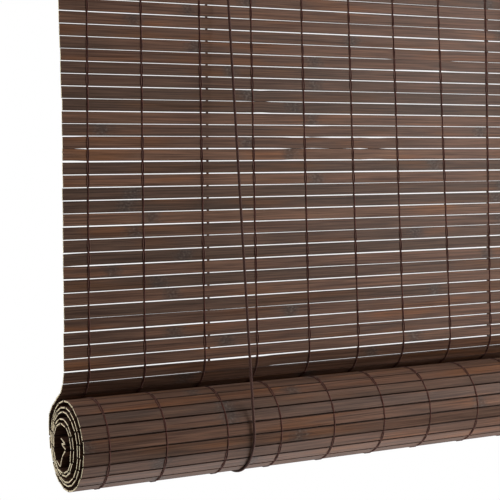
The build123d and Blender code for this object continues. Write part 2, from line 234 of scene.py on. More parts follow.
fibre_dye = ramp(grain, fibres, ((0.34, (0.62, 0.58, 0.56, 1)), (0.66, (1.24, 1.23, 1.22, 1))))
fibred = mixed(grain, 1.0, streaky, fibre_dye, "MULTIPLY")
HONEY_START, HONEY_FULL = 0.53, 0.68
HONEY_DYE = (1.18, 0.99, 0.75, 1)
honey = stretched_noise(grain, given["Place"], (9.0, 60.0, 70.0), 2.0)
honey_mask = rising_mask(grain, honey, HONEY_START, HONEY_FULL)
warmed = mixed(grain, honey_mask, fibred, HONEY_DYE, "MULTIPLY")
along, _, across = put(grain, "ShaderNodeSeparateXYZ", {0: given["Place"]}).outputs
# Painted shade: the colour darkens towards each slat's long edges, where they face the gaps.
EDGE_SPACING, EDGE_START, EDGE_FULL, EDGE_SHADE_SHARE = 0.020, 0.0041, 0.0047, 0.8
edge_wrap = maths(grain, "WRAP", across, EDGE_SPACING / 2, -EDGE_SPACING / 2)
edge_distance = maths(grain, "ABSOLUTE", edge_wrap)
edge_shade_mask = rising_mask(grain, edge_distance, EDGE_START, EDGE_FULL)
edge_shade_share = maths(grain, "MULTIPLY", edge_shade_mask, given["Edges"])
edge_shaded = mixed(grain, maths(grain, "MULTIPLY", edge_shade_share, EDGE_SHADE_SHARE), warmed, stain(54, 37, 30))
JOINT_SPACING, JOINT_FULL, JOINT_END, JOINT_RAGGED, JOINT_SHARE = 0.38, 0.010, 0.019, 0.016, 0.6
joint_wrap = maths(grain, "WRAP", along, JOINT_SPACING / 2, -JOINT_SPACING / 2)
joint_distance = maths(grain, "ABSOLUTE", joint_wrap)
ragged = stretched_noise(grain, given["Place"], (170.0, 300.0, 320.0), 3.0)
joint_edge = maths(grain, "ADD", joint_distance, maths(grain, "MULTIPLY", ragged, JOINT_RAGGED))
joint_mask = rising_mask(grain, joint_edge, JOINT_END, JOINT_FULL)
joint_share = maths(grain, "MULTIPLY", joint_mask, given["Joints"])
speckle = stretched_noise(grain, given["Place"], (420.0, 500.0, 700.0), 4.0)
mottled = ramp(
    grain,
    speckle,
    ((0.38, stain(46, 38, 35)), (0.55, stain(66, 57, 52)), (0.66, stain(98, 89, 83))),
)
jointed = mixed(grain, maths(grain, "MULTIPLY", joint_share, JOINT_SHARE), edge_shaded, mottled)
SATIN_ROUGHNESS, FIBRE_ROUGHNESS = 0.34, 0.26
joint_height = maths(grain, "MULTIPLY", joint_share, speckle)
grain.links.new(jointed, results["Color"])
grain.links.new(maths(grain, "MULTIPLY_ADD", fibres, FIBRE_ROUGHNESS, SATIN_ROUGHNESS), results["Roughness"])
grain.links.new(maths(grain, "ADD", fibres, joint_height), results["Height"])


def new_finish(name, **constants):
    """Material with its Principled shader; constants set that shader's own sockets."""
    finish = bpy.data.materials.new(name)
    finish.use_nodes = True
    shader = finish.node_tree.nodes["Principled BSDF"]
    for label, value in constants.items():
        shader.inputs[label.replace("_", " ")].default_value = value
    return finish, finish.node_tree, shader


def bumped(tree, shader, height, strength, depth):
    bump = put(tree, "ShaderNodeBump", {"Height": height, "Strength": strength, "Distance": depth})
    tree.links.new(bump.outputs[0], shader.inputs["Normal"])


GRAIN_BUMP, BUMP_DEPTH = 0.35, 0.0002


def grained_finish(name, place, tone, joints):
    """Stained and varnished wood or bamboo with its grain along X of the place that it reads; where joints
    are on, painted shade darkens the slats' long edges too.
    """
    finish, tree, shader = new_finish(name, Specular_IOR_Level=0.12)
    group = put(tree, "ShaderNodeGroup", node_tree=grain)
    tree.links.new(place(tree), group.inputs["Place"])
    if isinstance(tone, str):
        own_tone = put(tree, "ShaderNodeAttribute", attribute_name=tone)
        tree.links.new(own_tone.outputs["Fac"], group.inputs["Tone"])
    else:
        group.inputs["Tone"].default_value = tone
    group.inputs["Joints"].default_value = joints
    # Slats with cane joints also get the painted shade along their long edges.
    group.inputs["Edges"].default_value = joints
    tree.links.new(group.outputs["Color"], shader.inputs["Base Color"])
    tree.links.new(group.outputs["Roughness"], shader.inputs["Roughness"])
    bumped(tree, shader, group.outputs["Height"], GRAIN_BUMP, BUMP_DEPTH)
    return finish


def object_place(tree):
    return put(tree, "ShaderNodeTexCoord").outputs["Object"]


def edit(piece):
    """Opens a piece alone for editing, with nothing selected in it, and gives its editable mesh."""
    if bpy.context.object and bpy.context.object.mode == "EDIT":
        bpy.ops.object.mode_set(mode="OBJECT")
    bpy.ops.object.select_all(action="DESELECT")
    piece.select_set(True)
    bpy.context.view_layer.objects.active = piece
    bpy.ops.object.mode_set(mode="EDIT")
    bpy.ops.mesh.select_all(action="DESELECT")
    return bmesh.from_edit_mesh(piece.data)


SHARP_EDGE, SMOOTH_EDGE = math.radians(40), math.radians(32)


def apply_bevel(piece, width, segments):
    """Eases a piece's sharp edges and shades the rest smooth."""
    bpy.ops.object.mode_set(mode="OBJECT")
    bevel = piece.modifiers.new("eased_edges", "BEVEL")
    bevel.width = width
    bevel.segments = segments
    bevel.limit_method = "ANGLE"
    bevel.angle_limit = SHARP_EDGE
    bpy.ops.object.modifier_apply(modifier=bevel.name)
    bpy.ops.object.shade_smooth_by_angle(angle=SMOOTH_EDGE)


MERGE_DISTANCE, FLAT_ANGLE = 0.000002, math.radians(0.5)


def eased_copy(node, name, finish, body, width):
    """A made piece with its sharp edges taken off, in place of the plain one."""
    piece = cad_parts[node].copy()
    piece.data = piece.data.copy()
    piece.name = name
    piece.parent = None
    piece.matrix_world = Matrix.Identity(4)
    scene.collection.objects.link(piece)
    edit(piece)
    bpy.ops.mesh.select_all(action="SELECT")
    bpy.ops.mesh.remove_doubles(threshold=MERGE_DISTANCE)
    bpy.ops.mesh.dissolve_limited(angle_limit=FLAT_ANGLE)
    apply_bevel(piece, width, 2)
    piece.data.materials.clear()
    piece.data.materials.append(finish)
    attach(piece, body)
    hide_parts(node)


HEADRAIL_TONE, LATH_EASE = 0.30, 0.0008
headrail_wood = grained_finish("headrail_wood", object_place, HEADRAIL_TONE, 0.0)
eased_copy("back_batten", "planed_batten", headrail_wood, "headrail", LATH_EASE)
eased_copy("front_lath", "planed_lath", headrail_wood, "headrail", LATH_EASE)

# Hangers, pins and screws. Stamped steel plates with a keyhole eye, zinc plated, each held by two
# pan-head screws, and the panel pins in the lath, all with the grey mottled sheen of plating.
plating, given, results = new_group(
    "metal_mottle",
    (("Place", "Vector"), ("Dull", "Color"), ("Bright", "Color"), ("Polish", "Float")),
    (("Color", "Color"), ("Roughness", "Float"), ("Height", "Float")),
)
FLAKE_SHARE, SMEAR_SHARE, SMEAR_ROUGHNESS, SMEAR_BUMP = 0.5, 0.5, 0.35, 0.12
flakes = stretched_noise(plating, given["Place"], (900.0, 900.0, 900.0), 3.0)
smears = stretched_noise(plating, given["Place"], (180.0, 180.0, 60.0), 4.0)
smeared = maths(plating, "MULTIPLY", smears, SMEAR_SHARE)
patches = maths(plating, "MULTIPLY_ADD", flakes, FLAKE_SHARE, smeared)
plating.links.new(mixed(plating, patches, given["Dull"], given["Bright"]), results["Color"])
plating.links.new(
    maths(plating, "MULTIPLY_ADD", smears, SMEAR_ROUGHNESS, given["Polish"]), results["Roughness"]
)
plating.links.new(smears, results["Height"])


def metal_finish(name, dull, bright, polish):
    finish, tree, shader = new_finish(name, Metallic=1.0)
    sockets = {"Dull": dull, "Bright": bright, "Polish": polish}
    group = put(tree, "ShaderNodeGroup", sockets, node_tree=plating)
    tree.links.new(object_place(tree), group.inputs["Place"])
    tree.links.new(group.outputs["Color"], shader.inputs["Base Color"])
    tree.links.new(group.outputs["Roughness"], shader.inputs["Roughness"])
    bumped(tree, shader, group.outputs["Height"], SMEAR_BUMP, BUMP_DEPTH)
    return finish


ZINC_POLISH, METAL_EASE = 0.22, 0.0002
zinc_steel = metal_finish("zinc_steel", stain(150, 150, 148), stain(206, 206, 202), ZINC_POLISH)
for side in ("left", "right"):
    eased_copy(f"{side}_hanger", f"{side}_hanger_plate", zinc_steel, "headrail", METAL_EASE)
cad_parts["lath_pins"].data.materials.clear()
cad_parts["lath_pins"].data.materials.append(zinc_steel)

SCREW_HEAD_RADIUS, SCREW_HEAD_HEIGHT, SCREW_SHANK_RADIUS = 0.0032, 0.0018, 0.0015
SCREW_LENGTH, SCREW_HEAD_EASE = 0.0155, 0.0007
RECESS_LENGTH, RECESS_DEPTH, RECESS_WIDTH = 0.0036, 0.0016, 0.0007
SCREW_PLACES = [(x, z) for x in (-0.250, 0.250) for z in (-0.019, -0.029)]
bpy.ops.object.select_all(action="DESELECT")
bpy.ops.mesh.primitive_cylinder_add(
    vertices=32, radius=SCREW_HEAD_RADIUS, depth=SCREW_HEAD_HEIGHT, rotation=(-math.pi / 2, 0, 0)
)
screw = bpy.context.object
screw.location = (0, SCREW_HEAD_HEIGHT / 2, 0)
bpy.ops.object.transform_apply(location=True, rotation=True)
shape = edit(screw)
for face in shape.faces:
    face.select_set(face.normal.y < -0.9)
bpy.ops.mesh.inset(thickness=SCREW_HEAD_RADIUS - SCREW_SHANK_RADIUS)
bpy.ops.mesh.extrude_region_move(TRANSFORM_OT_translate={"value": (0, -SCREW_LENGTH, 0)})
apply_bevel(screw, SCREW_HEAD_EASE, 3)
for wide, high in ((RECESS_LENGTH, RECESS_WIDTH), (RECESS_WIDTH, RECESS_LENGTH)):
    bpy.ops.object.select_all(action="DESELECT")
    bpy.ops.mesh.primitive_cube_add(
        size=1, location=(0, SCREW_HEAD_HEIGHT, 0), scale=(wide, RECESS_DEPTH, high)
    )
    cutter = bpy.context.object
    cut = screw.modifiers.new("cross_recess", "BOOLEAN")
    cut.object = cutter
    cut.operation = "DIFFERENCE"
    bpy.context.view_layer.objects.active = screw
    bpy.ops.object.modifier_apply(modifier=cut.name)
    bpy.data.objects.remove(cutter)
screw.data.materials.append(zinc_steel)


def copy_at(pattern, place):
    """Copy of a piece, with its own mesh, moved to its place in that mesh."""
    piece = pattern.copy()
    piece.data = pattern.data.copy()
    piece.data.transform(Matrix.Translation(place))
    scene.collection.objects.link(piece)
    return piece


def join(pieces, name):
    """One piece made of several like ones."""
    bpy.ops.object.select_all(action="DESELECT")
    for piece in pieces:
        piece.select_set(True)
    bpy.context.view_layer.objects.active = pieces[0]
    bpy.ops.object.join()
    pieces[0].name = name
    return pieces[0]


screws = join([copy_at(screw, (x, 0, z)) for x, z in SCREW_PLACES], "pan_head_screws")
bpy.data.objects.remove(screw)
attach(screws, "headrail")
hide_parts("hanger_screws")

# Bamboo mat. Flat slats split from the cane and planed, stained dark brown after cutting, so that only
# their sawn ends show the pale bamboo. Each lies a little uneven, and here and there two slats touch.
SLAT_LENGTH, SLAT_WIDTH, SLAT_THICKNESS, SLAT_PITCH = 0.600, 0.0094, 0.0014, 0.0102
SLAT_EASE = 0.00018
MAT_Y, MAT_TOP = -0.0327, -0.019
HANGING_COUNT = 34
MAT_BOTTOM = MAT_TOP - HANGING_COUNT * SLAT_PITCH
chance = random.Random(34)


def slat_place(tree):
    return put(tree, "ShaderNodeAttribute", attribute_name="slat_place").outputs["Vector"]


# Bamboo slats: stain and grain, with painted shade along their long edges.
stained_bamboo_edge_shaded = grained_finish("stained_bamboo_edge_shaded", slat_place, "slat_tone", 1.0)
sawn_bamboo, tree, shader = new_finish("sawn_bamboo", Roughness=0.8, Specular_IOR_Level=0.2)
pores = stretched_noise(tree, slat_place(tree), (200.0, 2600.0, 2600.0), 3.0)
sawn_colour = ramp(
    tree,
    pores,
    ((0.30, stain(176, 152, 110)), (0.46, stain(226, 211, 175)), (0.70, stain(240, 230, 203))),
)
tree.links.new(sawn_colour, shader.inputs["Base Color"])
PORE_BUMP = 0.4
bumped(tree, shader, pores, PORE_BUMP, BUMP_DEPTH)


def planed_slat(name, pieces_long):
    """Flat slat along X round the origin, its edges eased and its ends sawn pale."""
    bpy.ops.object.select_all(action="DESELECT")
    bpy.ops.mesh.primitive_cube_add(size=1, scale=(SLAT_LENGTH, SLAT_THICKNESS, SLAT_WIDTH))
    slat = bpy.context.object
    slat.name = name
    bpy.ops.object.transform_apply(scale=True)
    slat.data.materials.append(stained_bamboo_edge_shaded)
    slat.data.materials.append(sawn_bamboo)
    shape = edit(slat)
    for face in shape.faces:
        face.material_index = 1 if abs(face.normal.x) > 0.9 else 0
    if pieces_long > 1:
        for edge in shape.edges:
            edge.select_set(abs(edge.verts[0].co.x - edge.verts[1].co.x) > SLAT_LENGTH / 2)
        bpy.ops.mesh.subdivide(number_cuts=pieces_long - 1)
    apply_bevel(slat, SLAT_EASE, 1)
    slat.data.attributes.new("slat_place", "FLOAT_VECTOR", "POINT")
    slat.data.attributes.new("slat_tone", "FLOAT", "POINT")
    return slat


GRAIN_SHIFTS = 50


def lay_slat(pattern, start, end, shift, tone, joint_at, rise=None, tilt=0.0, width_share=1.0):
    """Copy of a slat laid from one thread joint to the next, both given as (back, up)."""
    run = Vector(end) - Vector(start)
    run.normalize()
    middle = (Vector(start) + Vector(end)) / 2
    slat = copy_at(pattern, (0, 0, 0))
    offset = Vector((-joint_at, chance.random(), EDGE_SPACING * chance.randrange(GRAIN_SHIFTS)))
    for vertex, place, hue in zip(
        slat.data.vertices, slat.data.attributes["slat_place"].data, slat.data.attributes["slat_tone"].data
    ):
        place.vector = vertex.co + offset
        hue.value = tone
        vertex.co.z *= width_share
        if rise:
            vertex.co.z += rise(vertex.co.x)
    back = Vector((0, -run[1], run[0]))
    up = Vector((0, -run[0], -run[1]))
    turn = Matrix(((1, back.x, up.x), (0, back.y, up.y), (0, back.z, up.z))).to_4x4()
    slat.data.transform(
        Matrix.Translation((shift, middle[0], middle[1])) @ turn @ Matrix.Rotation(math.radians(tilt), 4, "X")
    )
    return slat


# Where the cane's joints show on the hanging slats, in metres from the middle of the blind.
CANE_JOINTS = {
    5: -0.131, 6: -0.186, 7: -0.236, 8: -0.026, 9: -0.182, 10: -0.066, 11: -0.149, 12: -0.066, 13: -0.133,
    14: -0.088, 15: -0.070, 17: -0.134, 18: -0.092, 19: 0.061, 20: -0.067, 22: -0.247, 23: -0.224,
    24: -0.239, 25: 0.040, 26: -0.194, 28: -0.218, 29: -0.206, 30: 0.059, 31: -0.093, 32: -0.203, 33: -0.156,
}
# Places where a slat lies against the one above it: slat, from, to, in metres.
TOUCHING = (
    (10, 0.020, 0.080), (14, -0.128, -0.114), (17, -0.076, -0.060), (18, -0.320, -0.287),
    (18, -0.097, -0.028), (18, -0.016, 0.008), (27, -0.320, -0.291), (30, 0.150, 0.230), (7, 0.190, 0.300),
    (36, -0.176, -0.114),
)
TOUCH_RISE = 0.0004
TOUCH_FADE = 0.012
# A slat's unevenness: how far it sits off, leans end to end and waves, in metres, and its waves per metre.
MOST_OFF, MOST_LEAN, WAVE_SIZES, WAVE_BENDS = 0.00016, 0.00013, (0.00003, 0.00011), (4, 13)


def waviness():
    """Small rise and fall of a slat along its length."""
    settled = chance.uniform(-MOST_OFF, MOST_OFF)
    lean = chance.uniform(-MOST_LEAN, MOST_LEAN)
    waves = [
        (chance.uniform(*WAVE_SIZES), chance.uniform(*WAVE_BENDS), chance.uniform(0, math.tau))
        for _ in range(3)
    ]

    def rise(x):
        bent = sum(size * math.sin(bends * x + phase) for size, bends, phase in waves)
        return settled + lean * x / (SLAT_LENGTH / 2) + bent

    return rise


def clamped_share(value):
    """The value itself between 0 and 1, else the nearer of the two."""
    return max(0.0, min(1.0, value))


def touching_rise(number, x):
    """Rise that brings a slat against its neighbours where they touch."""
    total = 0.0
    for slat, begin, end in TOUCHING:
        if number not in (slat, slat - 1):
            continue
        share = clamped_share(min(x - begin, end - x) / TOUCH_FADE + 0.5)
        total += (TOUCH_RISE if number == slat else -TOUCH_RISE) * share * share * (3 - 2 * share)
    return total


# How the mat hangs, with places along it counted in slats from its top: the slat where it is drawn up
# most and the slats from there to where it sags, the lean of its upper slats, and its drift to the right.
DRAWN_UP, DRAWN_SLAT, SAG_SLATS = 0.00125, 20.5, 17.5
LEAN_SLOPE, LEVEL_X, LEAN_END, LEAN_FADE = 0.0045, -0.06, 16, 8
FREE_FROM, FREE_FADE = 1, 5
DRIFT, DRIFT_SLAT, DRIFT_SLATS, DRIFT_START = 0.0036, 14, 24, -0.0002


def settling(x, z):
    """Rise of the mat at a place: upper slats sink to the left, the middle is drawn up, the foot sags."""
    number = (MAT_TOP - z) / SLAT_PITCH
    drawn_up = DRAWN_UP * math.cos(math.pi * (number - DRAWN_SLAT) / SAG_SLATS)
    leaning = LEAN_SLOPE * (x - LEVEL_X) * clamped_share((LEAN_END - number) / LEAN_FADE)
    return (drawn_up + leaning) * clamped_share((number - FREE_FROM) / FREE_FADE)


def side_drift(number):
    """The mat hangs a touch to the right in its upper part, as its threads let it."""
    return DRIFT * max(0.0, 1 - abs(number - DRIFT_SLAT) / DRIFT_SLATS) + DRIFT_START


HANGING_GAP = 0.0007
TONE_SPREAD = (-0.25, 1.25)
END_PLAY, MOST_TILT = 0.0003, 1.3
HIDDEN_JOINTS = (0.11, 0.16)
CLAMPED_COUNT = 2
long_slat = planed_slat("long_slat", 60)
hanging = []
for number in range(HANGING_COUNT):
    top = MAT_TOP - number * SLAT_PITCH
    clamped = number < CLAMPED_COUNT
    wave = waviness()
    middle = top - SLAT_PITCH / 2
    stretch = settling(0, top) - settling(0, top - SLAT_PITCH)
    lift_here = lambda x, n=number, w=wave, z=middle: w(x) + touching_rise(n, x) + settling(x, z)
    hanging.append(
        lay_slat(
            long_slat,
            (MAT_Y, top),
            (MAT_Y, top - SLAT_PITCH),
            side_drift(number) * (not clamped) + chance.uniform(-END_PLAY, END_PLAY),
            chance.uniform(*TONE_SPREAD),
            CANE_JOINTS.get(number, chance.uniform(*HIDDEN_JOINTS)),
            rise=None if clamped else lift_here,
            tilt=0.0 if clamped else chance.uniform(-MOST_TILT, MOST_TILT),
            width_share=(SLAT_PITCH - HANGING_GAP + stretch) / SLAT_WIDTH,
        )
    )
mat_slats = join(hanging, "mat_slats")
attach(mat_slats, "headrail")
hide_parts("hanging_slats")


def gathers_up(piece):
    """Gives the hanging piece its own mesh."""
    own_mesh(piece)


gathers_up(mat_slats)

# Mat that leads into the roll. The same slats and threads go on below the hanging part: the last eight
# bend back over the top of the roll and run down behind it, with ever smaller gaps between them.
LEAD_HEADINGS = (0, 18, 36, 60, 56, 44, 8, -2)
LEAD_TRIMS = (0.0005, 0.0006, 0.0005, 0.0003, 0.0001, 0.0001, 0.0001, 0.0001, 0.0022)


def walk(start, headings):
    """Thread joints of a row of slats; a heading is in degrees from straight down, growing to the back."""
    joints = [start]
    for heading in headings:
        angle = math.radians(heading)
        back, up = joints[-1]
        joints.append((back + SLAT_PITCH * math.sin(angle), up - SLAT_PITCH * math.cos(angle)))
    return joints


lead_joints = walk((MAT_Y, MAT_BOTTOM + settling(0, MAT_BOTTOM)), LEAD_HEADINGS)
short_slat = planed_slat("short_slat", 1)
MOST_TRIM = 0.0012
ROW_END_PLAY, ROW_JOINTS, SLIP_GROWTH = 0.0004, 0.19, 1.5


def lay_row(pattern, joints, name, least_trims, slip, first_number=None):
    """Slats in a row along thread joints, trimmed where two fold sharply and slipping sideways along it."""
    runs = [Vector(b) - Vector(a) for a, b in zip(joints, joints[1:])]
    folds = [0.0] + [a.angle(b) for a, b in zip(runs, runs[1:])] + [0.0]
    fold_trims = [min(MOST_TRIM, SLAT_THICKNESS / 2 * math.tan(fold / 2)) for fold in folds]
    trims = [max(pair) for pair in zip(least_trims, fold_trims)]
    slats = []
    for number, (start, end) in enumerate(zip(joints, joints[1:])):
        run = runs[number].normalized()
        first = Vector(start) + run * trims[number]
        last = Vector(end) - run * trims[number + 1]
        bent = lambda x, n=number: touching_rise(first_number + n, x)
        slats.append(
            lay_slat(
                pattern,
                first,
                last,
                slip * (number / len(runs)) ** SLIP_GROWTH + chance.uniform(-ROW_END_PLAY, ROW_END_PLAY),
                chance.random(),
                chance.uniform(-ROW_JOINTS, ROW_JOINTS),
                rise=bent if first_number else None,
                width_share=(last - first).length / SLAT_WIDTH,
            )
        )
    return join(slats, name)


lead_slats = lay_row(long_slat, lead_joints, "lead_slats", LEAD_TRIMS, 0.0, HANGING_COUNT)
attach(lead_slats, "roll_sling")
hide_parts("lead_in_slats")

# Roll. The lower mat is wound up into flat-sided turns round a hollow that sags back and down, with its
# last slats folded loosely inside. Its inner turns stand out a little at the left.
AXIS_Y, AXIS_Z = -0.035902, -0.433058
OUTER_RADIUS, TURN_PITCH, HOLLOW_RADIUS = 0.0373, 0.0040, 1.645 * SLAT_PITCH
BACK_SAG, DOWN_SAG = 0.30, 0.12
OUTER_ANGLE = math.radians(2)
TAIL_HEADINGS = (-36, -122, -98, -220, -68, -220)
wound_angle = (OUTER_RADIUS - HOLLOW_RADIUS) / TURN_PITCH * math.tau
# Turns between which the mat lies pressed together two by two, most of all in front.
PRESSED_TOGETHER, PRESSED_FROM, PRESSED_TO, PRESSED_FADE = 0.0011, 0.75, 5.1, 0.7
PRESSED_ROUND, PRESSED_IN_FRONT = 0.6, 0.4


def spiral_point(wound):
    """Place along the wound mat, given as the angle that it is wound up."""
    turn = wound / math.tau
    inward = TURN_PITCH * turn
    angle = OUTER_ANGLE - wound
    loose = clamped_share(min(turn - PRESSED_FROM, (PRESSED_TO - turn) / PRESSED_FADE))
    loose *= PRESSED_ROUND - PRESSED_IN_FRONT * math.cos(angle)
    radius = OUTER_RADIUS - inward + PRESSED_TOGETHER * loose * math.sin(math.pi * turn)
    return (
        AXIS_Y + radius * math.cos(angle) + BACK_SAG * inward,
        AXIS_Z + radius * math.sin(angle) - DOWN_SAG * inward,
    )


CHORD_TRIES = 8
wound = 0.0
wound_joints = [spiral_point(wound)]
while wound < wound_angle:
    step = SLAT_PITCH / OUTER_RADIUS
    for _ in range(CHORD_TRIES):
        step *= SLAT_PITCH / math.dist(wound_joints[-1], spiral_point(wound + step))
    wound += step
    wound_joints.append(spiral_point(wound))
last_run = Vector(wound_joints[-1]) - Vector(wound_joints[-2])
last_heading = math.degrees(math.atan2(last_run[0], -last_run[1]))
roll_joints = wound_joints[:-1] + walk(wound_joints[-1], [last_heading + turn for turn in TAIL_HEADINGS])
ROLL_TRIM, INNER_SLIP = 0.00045, -0.003
roll_slats = lay_row(short_slat, roll_joints, "roll_slats", [ROLL_TRIM] * len(roll_joints), INNER_SLIP)
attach(roll_slats, "roll")
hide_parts("rolled_mat")
bpy.data.objects.remove(long_slat)
bpy.data.objects.remove(short_slat)

# Warp threads. At each of twelve places two red-brown cotton yarns are twined: at every slat one passes in
# front and one behind, and they cross in the gap. They wander a few millimetres across the mat.
twist, given, results = new_group(
    "strand_twist",
    (("Place", "Vector"), ("Pitch", "Float"), ("Strands", "Float"), ("Counter", "Float")),
    (("Ridge", "Float"),),
)
split = put(twist, "ShaderNodeSeparateXYZ", {0: given["Place"]}).outputs
turns = maths(twist, "MULTIPLY", maths(twist, "DIVIDE", split[0], given["Pitch"]), math.tau)
spread = maths(twist, "MULTIPLY", maths(twist, "MULTIPLY", split[1], given["Strands"]), math.tau)
right_hand = maths(twist, "SINE", maths(twist, "ADD", turns, spread))
left_hand = maths(twist, "SINE", maths(twist, "SUBTRACT", turns, spread))
crossed = maths(twist, "MAXIMUM", right_hand, maths(twist, "MULTIPLY_ADD", left_hand, given["Counter"], -1.0))
twist.links.new(maths(twist, "MULTIPLY_ADD", crossed, 0.5, 0.5), results["Ridge"])


FUZZ_SHARE, RIDGE_SHARE, STRAND_BUMP = 0.6, 0.6, 0.6


def strand_finish(name, dark, light, pitch, strands, counter, depth):
    """Spun or braided fibre: its ridges follow the piece's own UV map, which runs in metres along it. Its
    colour is darker in the grooves between strands as painted shade, and varies with the fibre's fuzz.
    """
    finish, tree, shader = new_finish(name, Roughness=0.85, Specular_IOR_Level=0.15, Sheen_Weight=0.08)
    group = put(
        tree, "ShaderNodeGroup", {"Pitch": pitch, "Strands": strands, "Counter": counter}, node_tree=twist
    )
    tree.links.new(put(tree, "ShaderNodeUVMap").outputs[0], group.inputs["Place"])
    fuzz = stretched_noise(tree, object_place(tree), (900.0, 900.0, 900.0), 3.0)
    ridged = maths(tree, "MULTIPLY", group.outputs["Ridge"], RIDGE_SHARE)
    ridge = maths(tree, "MULTIPLY_ADD", fuzz, FUZZ_SHARE, ridged)
    # Painted shade: the ramp darkens the grooves of the twist; fuzz varies it, and the same value drives the
    # bump.
    tree.links.new(ramp(tree, ridge, ((0.25, dark), (0.85, light))), shader.inputs["Base Color"])
    bumped(tree, shader, ridge, STRAND_BUMP, depth)
    return finish


# Its dark colour is mostly painted shade in the grooves between the plies.
warp_yarn = strand_finish(
    "warp_yarn",
    dark=stain(36, 18, 15),
    light=stain(94, 54, 44),
    pitch=0.0100,
    strands=2.0,
    counter=0.0,
    depth=0.00015,
)


def spun_tube(name, route, radius, roundness, fineness):
    """Tube along one smooth line through these control points."""
    line = bpy.data.curves.new(name, "CURVE")
    line.dimensions = "3D"
    spline = line.splines.new("NURBS")
    spline.points.add(len(route) - 1)
    for point, place in zip(spline.points, route):
        point.co = (*place, 1)
    spline.order_u = 3
    spline.use_endpoint_u = True
    length = sum(math.dist(a, b) for a, b in zip(route, route[1:]))
    line.resolution_u = fineness
    line.bevel_depth = radius
    line.bevel_resolution = roundness
    line.use_fill_caps = True
    tube = bpy.data.objects.new(name, line)
    scene.collection.objects.link(tube)
    bpy.ops.object.select_all(action="DESELECT")
    tube.select_set(True)
    bpy.context.view_layer.objects.active = tube
    bpy.ops.object.convert(target="MESH")
    for corner in tube.data.uv_layers.active.data:
        corner.uv = (corner.uv[0] * length, corner.uv[1])
    bpy.ops.object.shade_smooth()
    return tube


YARN_RADIUS, YARN_FLATTENED = 0.00036, 1.3
YARN_OUT = SLAT_THICKNESS / 2 + 0.00025
PLY_SPREAD, LEAST_PARTED, MORE_PARTED, CLOSED_UP = 0.0008, 0.55, 0.45, 0.35
PARTING_CHANGE = 2.3
SLAT_EDGE, EDGE_PARTED = 0.0004, 0.6
FIRST_THREAD, THREAD_SPACING, THREAD_COUNT = -0.278, 0.0505455, 12
THREAD_PLACES = [FIRST_THREAD + THREAD_SPACING * number for number in range(THREAD_COUNT)]
# Wander of each thread in millimetres, high on the mat and at the roll.
MILLIMETRE = 0.001
HIGH_WANDER = (4.2, 0.5, 3.0, 1.5, 1.3, -0.7, -3.8, -3.2, 1.0, -1.5, 0.8, -0.6)
LOW_WANDER = (-0.5, -2.5, 1.5, 0.8, 2.0, 2.2, 0.5, 2.3, -1.2, 0.9, -1.6, 1.1)


def ply_route(joints, first_side, ply):
    """Control points of one ply of a yarn along a row of slats: it passes them on alternate sides, and the
    two plies of a yarn part over each slat and close up between slats."""
    points = []
    side = first_side
    for number, (start, end) in enumerate(zip(joints, joints[1:])):
        run = (Vector(end) - Vector(start)).normalized()
        out = Vector((-run[1], run[0])) * YARN_OUT * side
        parting = LEAST_PARTED + MORE_PARTED * math.sin(PARTING_CHANGE * number + first_side)
        parted = ply * PLY_SPREAD * parting
        points.append((CLOSED_UP * ply * PLY_SPREAD, *start))
        slat_points = (SLAT_EDGE, EDGE_PARTED), (SLAT_PITCH / 2, 1.0), (SLAT_PITCH - SLAT_EDGE, EDGE_PARTED)
        for along, share in slat_points:
            place = Vector(start) + run * along + out
            points.append((parted * share, *place))
        side = -side
    points.append((CLOSED_UP * ply * PLY_SPREAD, *joints[-1]))
    return points


def yarn_pair(joints, name):
    """Two twined yarns of two plies along a row of slats, at the middle of the blind."""
    plies = [
        spun_tube(name, ply_route(joints, side, ply), YARN_RADIUS, 0, 2)
        for side in (1, -1)
        for ply in (1, -1)
    ]
    pair = join(plies, name)
    pair.data.transform(Matrix.Diagonal((YARN_FLATTENED, 1, 1, 1)))
    pair.data.materials.append(warp_yarn)
    return pair


HIGH_ON_MAT = -0.08


def wandering(number, z):
    """How far a thread lies from its place, to the right, at a height on the mat."""
    share = clamped_share((z - MAT_BOTTOM) / (HIGH_ON_MAT - MAT_BOTTOM))
    return MILLIMETRE * (LOW_WANDER[number] + share * (HIGH_WANDER[number] - LOW_WANDER[number]))


hanging_joints = [(MAT_Y, MAT_TOP - number * SLAT_PITCH) for number in range(HANGING_COUNT + 1)]
hanging_pair = yarn_pair(hanging_joints, "hanging_pair")
for number, place in enumerate(THREAD_PLACES):
    thread = copy_at(hanging_pair, (place, 0, 0))
    thread.name = f"twined_thread_{number + 1:02d}"
    for vertex in thread.data.vertices:
        vertex.co.z += settling(vertex.co.x, vertex.co.z)
        vertex.co.x += wandering(number, vertex.co.z)
    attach(thread, "headrail")
    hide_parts(f"warp_thread_{number + 1:02d}")
    gathers_up(thread)
bpy.data.objects.remove(hanging_pair)


def thread_row(pair, numbers):
    """Copies of a pair of yarns at the places of these threads, in place of the pair."""
    copies = [copy_at(pair, (THREAD_PLACES[n] + MILLIMETRE * LOW_WANDER[n], 0, 0)) for n in numbers]
    bpy.data.objects.remove(pair)
    return copies


lead_threads = join(thread_row(yarn_pair(lead_joints, "lead_pair"), range(THREAD_COUNT)), "lead_threads")
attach(lead_threads, "roll_sling")
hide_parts("lead_in_threads")

OUTER_TURN_SLATS = 24
outer_pair = yarn_pair(wound_joints[: OUTER_TURN_SLATS + 1], "outer_pair")
outer_turn = thread_row(outer_pair, range(1, THREAD_COUNT - 1))
whole_roll = thread_row(yarn_pair(roll_joints, "whole_pair"), (0, THREAD_COUNT - 1))
wound_threads = join(outer_turn + whole_roll, "wound_threads")
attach(wound_threads, "roll")
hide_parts("roll_threads")
